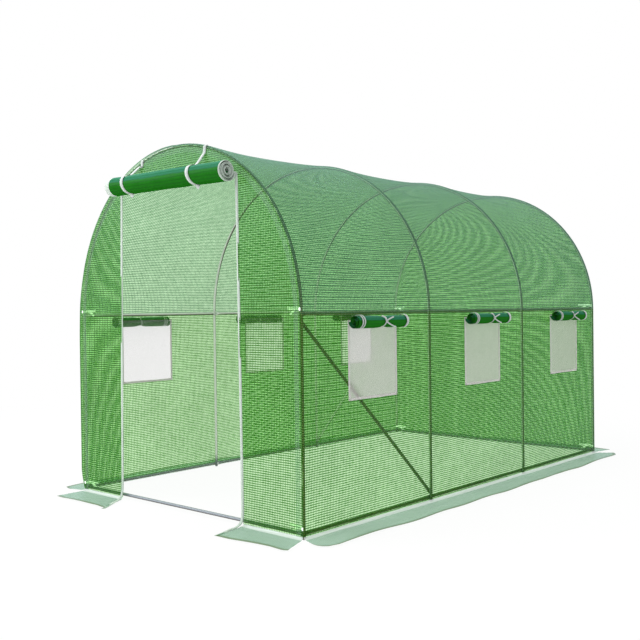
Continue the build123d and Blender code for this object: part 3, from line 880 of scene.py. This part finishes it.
def roll_mesh(name, start, axis, toward, length, outer, inner, cloth, squeeze, tapes, seed,
              divisions=26, tilt=0.0, edging=None, recess=0.012):
    """A flap rolled up on itself: one long spiral sheet with its edge tapes at both ends.

    toward and up span the roll's end view; the sheet leaves the roll on the side of -toward.
    squeeze(t) is the share of the radius left at t along the roll, and tapes are the widths
    of the tape at its start and its end.
    """
    thickness = 0.0030
    turns = (outer - inner) / (math.pi * (outer**2 - inner**2) / cloth)
    steps = int(turns * 30)
    start, axis, toward, up = Vector(start), Vector(axis), Vector(toward), Vector((0, 0, 1))
    first, last = tapes[0] / length, 1 - tapes[1] / length
    stations = sorted(set([0.0, first, last, 1.0] + list(np.linspace(0, 1, divisions))))
    rng = np.random.default_rng(seed)
    ragged = rng.uniform(-1, 1, (2, steps + 1))
    ragged = np.array([np.convolve(r, np.ones(9) / 9, "same") for r in ragged]) * 0.006
    verts, uvs = [], []
    for t in stations:
        shrink = squeeze(t)
        for k in range(steps + 1):
            s = k / steps
            radius = (outer - thickness / 2) - (outer - inner) * s
            angle = math.pi + 2 * math.pi * turns * s
            depth = recess * (0.5 - 0.5 * math.cos(2 * math.pi * 2.5 * s + 0.6 * s))
            shift = (ragged[0][k] + depth) * (t < 0.001) + (ragged[1][k] - depth) * (t > 0.999)
            wobble = 1 + 0.012 * math.sin(7 * t * length + 3 * angle)
            wobble += 0.010 * math.sin(23 * t * length + angle)
            for edge in (thickness / 2, -thickness / 2):
                r = radius * shrink * wobble + edge
                flat = toward * (r * math.cos(angle)) + up * (r * math.sin(angle))
                verts.append(start + axis * (t * length + shift) + flat + Vector((0, 0, tilt * (0.5 - t))))
                uvs.append((t * length, s * cloth))
    row = 2 * (steps + 1)
    faces, kinds = [], []
    for r in range(len(stations) - 1):
        taped = int(stations[r + 1] <= first + 1e-6 or stations[r] >= last - 1e-6)
        for k in range(steps):
            a = r * row + 2 * k
            b = a + row
            faces += [(a, a + 2, b + 2, b), (a + 1, b + 1, b + 3, a + 3)]
            kinds += [taped, taped]
        for k in (0, steps):
            a = r * row + 2 * k
            b = a + row
            faces.append((a, b, b + 1, a + 1) if k == 0 else (a, a + 1, b + 1, b))
            kinds.append(taped)
    for r in (0, len(stations) - 1):
        for k in range(steps):
            a = r * row + 2 * k
            faces.append((a, a + 1, a + 3, a + 2) if r == 0 else (a, a + 2, a + 3, a + 1))
            kinds.append(1)
    return mesh_object(name, verts, faces, [ROLLED, edging or ROLLED], uvs, kinds)


def dip(t, place, width, depth):
    """A narrow waist where a tie cuts in."""
    return depth * math.exp(-((t - place) / width) ** 2)


def ring(center, radius, toward, up, count=36):
    """Points on a circle."""
    points = []
    for k in range(count):
        a = 2 * math.pi * k / count
        points.append(center + toward * (radius * math.cos(a)) + up * (radius * math.sin(a)))
    return points


def window_roll(i, side):
    """The rolled flap over one window and the ties that hold it up."""
    name = side_name(side)
    start = Vector((side * ROLL_X, window_middle(i, side) - side * WINDOW_HALF, ROLL_Z))
    run, out, up = Vector((0, side, 0)), Vector((side, 0, 0)), Vector((0, 0, 1))
    waist = TIE_PLACES[2] / ROLL_LENGTH
    double = (TIE_PLACES[0] + TIE_PLACES[1]) / 2 / ROLL_LENGTH

    def squeeze(t):
        return 1.0 - dip(t, waist, 0.055, 0.30) - dip(t, 1.0, 0.07, 0.10) - dip(t, double, 0.05, 0.07)

    roll = roll_mesh(f"{name}_window_roll_{i + 1}", start, run, out, ROLL_LENGTH, ROLL_RADIUS, 0.007,
                     ROLL_CLOTH, squeeze, (0.006, 0.006), 150 + i)
    place_piece(roll, "rolled_film", f"{name}_window_rolls")
    parts = []
    for k, place in enumerate(TIE_PLACES):
        radius = ROLL_RADIUS * squeeze(place / ROLL_LENGTH) + 0.0018
        lean = 0.25 if k == 2 else 0.02
        path = [p + run * (lean * (p.z - ROLL_Z)) for p in ring(start + run * place, radius, out, up)]
        parts.append(band(path, run, 0.009 if k < 3 else 0.020, 0.0014, closed=True))
    front = start + run * TIE_PLACES[2] + out * 0.0285
    for rise, reach, off in ((0.024, 0.056, 0.012), (-0.034, 0.080, 0.010), (0.031, -0.050, 0.008)):
        tail = smooth_path([
            front - run * 0.004,
            front + run * (reach * 0.2) + up * (rise * 0.35) + out * (off * 0.4),
            front + run * (reach * 0.6) + up * (rise * 0.8) + out * off,
            front + run * reach + up * rise + out * off * 0.8,
        ])
        parts.append(band(tail, up - run * 0.3, 0.008, 0.0014))
    knot = [front + out * 0.001 + run * (0.009 * math.cos(a)) + up * (0.009 * math.sin(a))
            for a in np.linspace(-1.2, 1.2, 7)]
    parts.append(band(knot, out, 0.007, 0.004))
    ties = joined(f"{name}_window_ties_{i + 1}", parts, WEBBING)
    place_piece(ties, "webbing", f"{name}_window_ties")


# Doorway

def door_roll():
    """The rolled door flap, held up by two straps from the arch."""
    places = [(x - DOOR_ROLL_START) / DOOR_ROLL_LENGTH for _, x in STRAPS]

    def squeeze(t):
        return 1.0 - sum(dip(t, place, 0.03, 0.05) for place in places)

    roll = roll_mesh("door_flap_roll", (DOOR_ROLL_START, DOOR_ROLL_Y, DOOR_ROLL_Z), (1, 0, 0), (0, -1, 0),
                     DOOR_ROLL_LENGTH, DOOR_ROLL_RADIUS, 0.013, DOOR_ROLL_CLOTH, squeeze, (0.045, 0.020),
                     200, divisions=34, tilt=DOOR_ROLL_TILT, edging=BINDING, recess=0.026)
    place_piece(roll, "rolled_film", "door_roll")
    parts = []
    for t, (hook_x, roll_x) in zip(places, STRAPS):
        z = DOOR_ROLL_Z + DOOR_ROLL_TILT * (0.5 - t)
        radius = DOOR_ROLL_RADIUS * squeeze(t) + 0.0016
        crown = arch_height(hook_x)
        middle = (hook_x + roll_x) / 2
        path = smooth_path([
            (hook_x + 0.004, -HALF_LENGTH, crown + 0.0125),
            (hook_x, -HALF_LENGTH - 0.0135, crown + 0.004),
            (hook_x - 0.002, -HALF_LENGTH - 0.016, crown - 0.030),
            (middle + 0.010, -HALF_LENGTH - 0.024, (crown + z + radius) / 2 + 0.004),
            (roll_x + 0.010, DOOR_ROLL_Y + 0.020, z + radius + 0.006),
            (roll_x, DOOR_ROLL_Y - 0.012, z + radius - 0.001),
        ])
        for k, a in enumerate(np.linspace(0.45, 2.9, 18)):
            y = DOOR_ROLL_Y - radius * math.sin(a)
            path.append(Vector((roll_x + 0.002 * k, y, z + radius * math.cos(a))))
        last = path[-1]
        path += smooth_path([
            last + Vector((0.003, 0.003, -0.002)),
            last + Vector((0.016, 0.006, -0.010)),
            last + Vector((0.036, 0.004, -0.020)),
        ], 4)
        parts.append(band(path, (1, 0, 0), 0.026, 0.0016))
    straps = joined("door_flap_straps", parts, WEBBING)
    place_piece(straps, "webbing", "door_straps")


def door_bindings():
    """The pale tape along both edges of the doorway, which runs out along the skirts' edges."""
    parts = []
    for side in (1, -1):
        foot = door_edge(side, 0.06)
        out_x = SKIRT_CORNERS[side][0] - foot
        out_y = SKIRT_CORNERS[side][1] + FILM_Y
        path = [(door_edge(side, z), -FILM_Y - 0.0022, z) for z in spaced(0.10, DOOR_TOP - 0.01, 0.06)]
        path.reverse()
        path.append((foot, -FILM_Y - 0.004, 0.06))
        path.append((foot + out_x * 0.04, -FILM_Y - 0.018, 0.026))
        for t in (0.25, 0.45, 0.65, 0.85, 1.0):
            path.append((foot + out_x * t, -FILM_Y + out_y * t, 0.0055 + 0.004 * math.sin(5 * t)))
        parts.append(band(smooth_path(path, 3), (1, 0, 0), 0.021, 0.0016))
    place_piece(joined("doorway_binding", parts, BINDING), "webbing", "door_bindings")


def post_ties():
    """A white tie with loose tails at the head and foot of each corner post."""
    corners = [(sx, sy) for sx in (1, -1) for sy in (-1, 1)]
    parts = []
    for sx, sy in corners:
        for level in (RAIL + 0.024, GROUND_RAIL + 0.030):
            path = []
            for a in np.linspace(math.radians(70), math.radians(290), 15):
                x = HALF_WIDTH + COVER_REACH * math.cos(a)
                path.append(Vector((sx * x, sy * (HALF_LENGTH + COVER_REACH * math.sin(a)), level)))
            parts.append(band(path, (0, 0, 1), 0.016, 0.0014))
            knot = Vector((sx * (HALF_WIDTH - 0.015), sy * (HALF_LENGTH - 0.003), level))
            for drop, reach in ((0.008, 0.100), (-0.026, 0.080)):
                tail = smooth_path([
                    knot,
                    knot + Vector((-sx * reach * 0.3, -sy * 0.004, 0.006)),
                    knot + Vector((-sx * reach * 0.7, -sy * 0.010, drop * 0.5)),
                    knot + Vector((-sx * reach, -sy * 0.012, drop)),
                ], 5)
                parts.append(band(tail, (0, 0.2, 1), 0.014, 0.0014))
    place_piece(joined("post_ties", parts, POST_TIE), "webbing", "corner_ties")


# Stage, light and camera

def is_seen(n):
    """1 for rays that show the background itself: straight, mirrored or through glass."""
    path = n.add("LightPath").outputs
    seen = n.math("MAXIMUM", path["Is Camera Ray"], path["Is Glossy Ray"])
    return n.math("MAXIMUM", seen, path["Is Transmission Ray"])


def floor():
    """A white floor that keeps a soft shadow of the tunnel."""
    n = Nodes(bpy.data.materials.new("floor_white"))
    place = n.place()
    tone = n.grey(n.spread(n.noise(place, 0.4, 2.0), 0.3, 0.7, 0.88, 0.90))
    matte = n.add("BsdfDiffuse", {"Color": tone}).outputs[0]
    glow = n.add("Emission", {"Color": (1, 1, 1), "Strength": 1.0}).outputs[0]
    distance = n.add("VectorMath", {0: place}, operation="LENGTH").outputs["Value"]
    shown = n.blend(n.spread(distance, 2.2, 6.0, 0.94, 1.0), matte, glow)
    material = n.finish(n.blend(is_seen(n), matte, shown))
    verts = [(-60, -60, -0.001), (60, -60, -0.001), (60, 60, -0.001), (-60, 60, -0.001)]
    mesh_object("floor", verts, [(0, 1, 2, 3)], [material], None)


def world():
    """White to the eye, a plain even light to everything else."""
    scene = bpy.context.scene
    scene.world = bpy.data.worlds.new("studio")
    n = Nodes(scene.world, "OutputWorld")
    white = n.add("Background", {"Color": (1, 1, 1), "Strength": 1.0}).outputs[0]
    even = n.add("Background", {"Color": (0.97, 0.99, 1.0), "Strength": 0.78}).outputs[0]
    n.finish(n.blend(is_seen(n), even, white))


def lamp(name, location, target, size, power):
    """A soft square lamp."""
    data = bpy.data.lights.new(name, "AREA")
    data.shape = "SQUARE"
    data.size = size
    data.energy = power
    obj = bpy.data.objects.new(name, data)
    obj.location = location
    direction = Vector(target) - Vector(location)
    obj.rotation_euler = direction.to_track_quat("-Z", "Y").to_euler()
    bpy.context.scene.collection.objects.link(obj)


def camera():
    """The photograph's view."""
    data = bpy.data.cameras.new("camera")
    data.sensor_width = SENSOR
    data.lens = FOCAL_PIXELS * SENSOR / PICTURE_PIXELS
    data.clip_end = 200.0
    obj = bpy.data.objects.new("camera", data)
    turn = Matrix.Rotation(math.radians(CAMERA_TURN), 4, "Z")
    tip = Matrix.Rotation(math.radians(90 - CAMERA_DROP), 4, "X")
    roll = Matrix.Rotation(math.radians(CAMERA_ROLL), 4, "Z")
    obj.matrix_world = Matrix.Translation(CAMERA_PLACE) @ turn @ tip @ roll
    bpy.context.scene.collection.objects.link(obj)
    bpy.context.scene.camera = obj


dress_steel()
bolts()
for bay in range(3):
    roof_film(bay)
    for wall_side in (1, -1):
        wall_film(bay, wall_side)
        window_net(bay, wall_side)
        window_roll(bay, wall_side)
front_film(1)
front_film(-1)
front_film_top()
back_film()
front_hem(0.032)
skirts()
door_roll()
door_bindings()
post_ties()
floor()
world()
lamp("sky_lamp", (-1.0, -1.0, 6.5), (0, 0, 1.0), 6.0, 340.0)
lamp("key_lamp", (-4.5, -5.5, 4.5), (0, 0, 1.2), 4.0, 260.0)
camera()
bpy.context.scene.view_settings.view_transform = "Standard"
